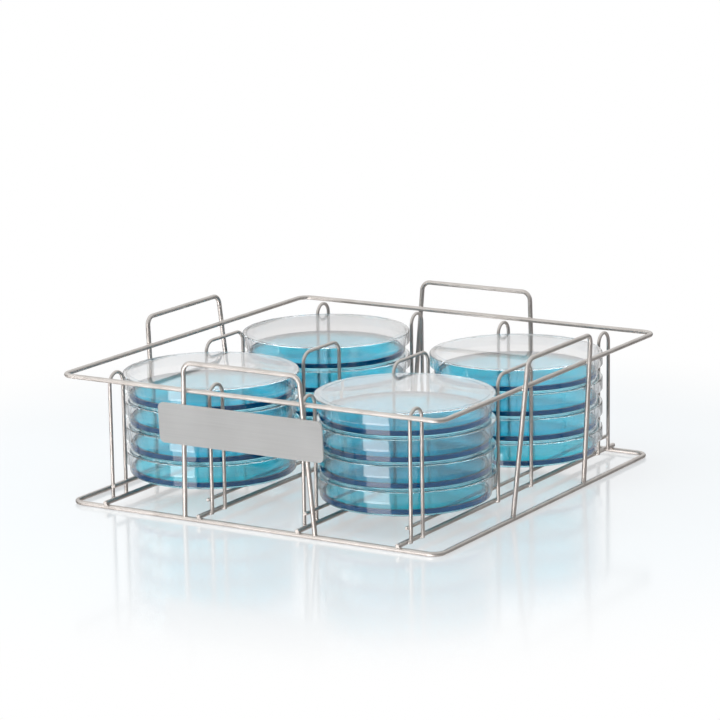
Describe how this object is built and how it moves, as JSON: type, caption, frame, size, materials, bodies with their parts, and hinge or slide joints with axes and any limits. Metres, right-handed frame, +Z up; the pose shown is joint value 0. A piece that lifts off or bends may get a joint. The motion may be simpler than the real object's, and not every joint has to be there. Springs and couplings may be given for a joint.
{
  "type": "petri dish rack",
  "caption": "Welded wire rack with lifting handles, hairpin guides and a bare label plate, loaded with stacks of large lidded culture dishes.",
  "frame": {"origin": "on the bench, under the middle of the rack", "axes": "+Z up, +Y from the side with the label plate to the opposite side, +X to the right when facing the label plate"},
  "size_m": [0.38, 0.3932, 0.1378],
  "materials": {
    "steel_wire": "electropolished stainless steel wire, bright satin",
    "plate_steel": "satin stainless sheet, bare",
    "dish_plastic": "clear moulded polystyrene, glossy",
    "medium": "poured blue-green agar, moist"
  },
  "bodies": {
    "root": {"bottom_ring": "steel_wire", "top_ring": "steel_wire", "floor_rail_1": "steel_wire", "floor_rail_2": "steel_wire", "floor_rail_3": "steel_wire", "floor_rail_4": "steel_wire", "support_wire_1": "steel_wire", "support_wire_2": "steel_wire", "support_wire_3": "steel_wire", "support_wire_4": "steel_wire", "front_guide_1": "steel_wire", "front_guide_2": "steel_wire", "front_guide_3": "steel_wire", "front_guide_4": "steel_wire", "back_guide_1": "steel_wire", "back_guide_2": "steel_wire", "back_guide_3": "steel_wire", "back_guide_4": "steel_wire", "centre_guide_1": "steel_wire", "centre_guide_2": "steel_wire", "centre_guide_3": "steel_wire", "centre_guide_4": "steel_wire", "front_handle": "steel_wire", "right_handle": "steel_wire", "back_handle": "steel_wire", "left_handle": "steel_wire", "label_plate": "plate_steel", "base_front_left_1": "dish_plastic", "base_front_left_2": "dish_plastic", "base_front_left_3": "dish_plastic", "base_front_left_4": "dish_plastic", "base_front_right_1": "dish_plastic", "base_front_right_2": "dish_plastic", "base_front_right_3": "dish_plastic", "base_front_right_4": "dish_plastic", "base_back_right_1": "dish_plastic", "base_back_right_2": "dish_plastic", "base_back_right_3": "dish_plastic", "base_back_right_4": "dish_plastic", "base_back_left_1": "dish_plastic", "base_back_left_2": "dish_plastic", "base_back_left_3": "dish_plastic", "base_back_left_4": "dish_plastic", "lid_front_left_1": "dish_plastic", "lid_front_left_2": "dish_plastic", "lid_front_left_3": "dish_plastic", "lid_front_left_4": "dish_plastic", "lid_front_right_1": "dish_plastic", "lid_front_right_2": "dish_plastic", "lid_front_right_3": "dish_plastic", "lid_front_right_4": "dish_plastic", "lid_back_right_1": "dish_plastic", "lid_back_right_2": "dish_plastic", "lid_back_right_3": "dish_plastic", "lid_back_right_4": "dish_plastic", "lid_back_left_1": "dish_plastic", "lid_back_left_2": "dish_plastic", "lid_back_left_3": "dish_plastic", "lid_back_left_4": "dish_plastic", "culture_medium": "medium"}
  },
  "joints": []
}
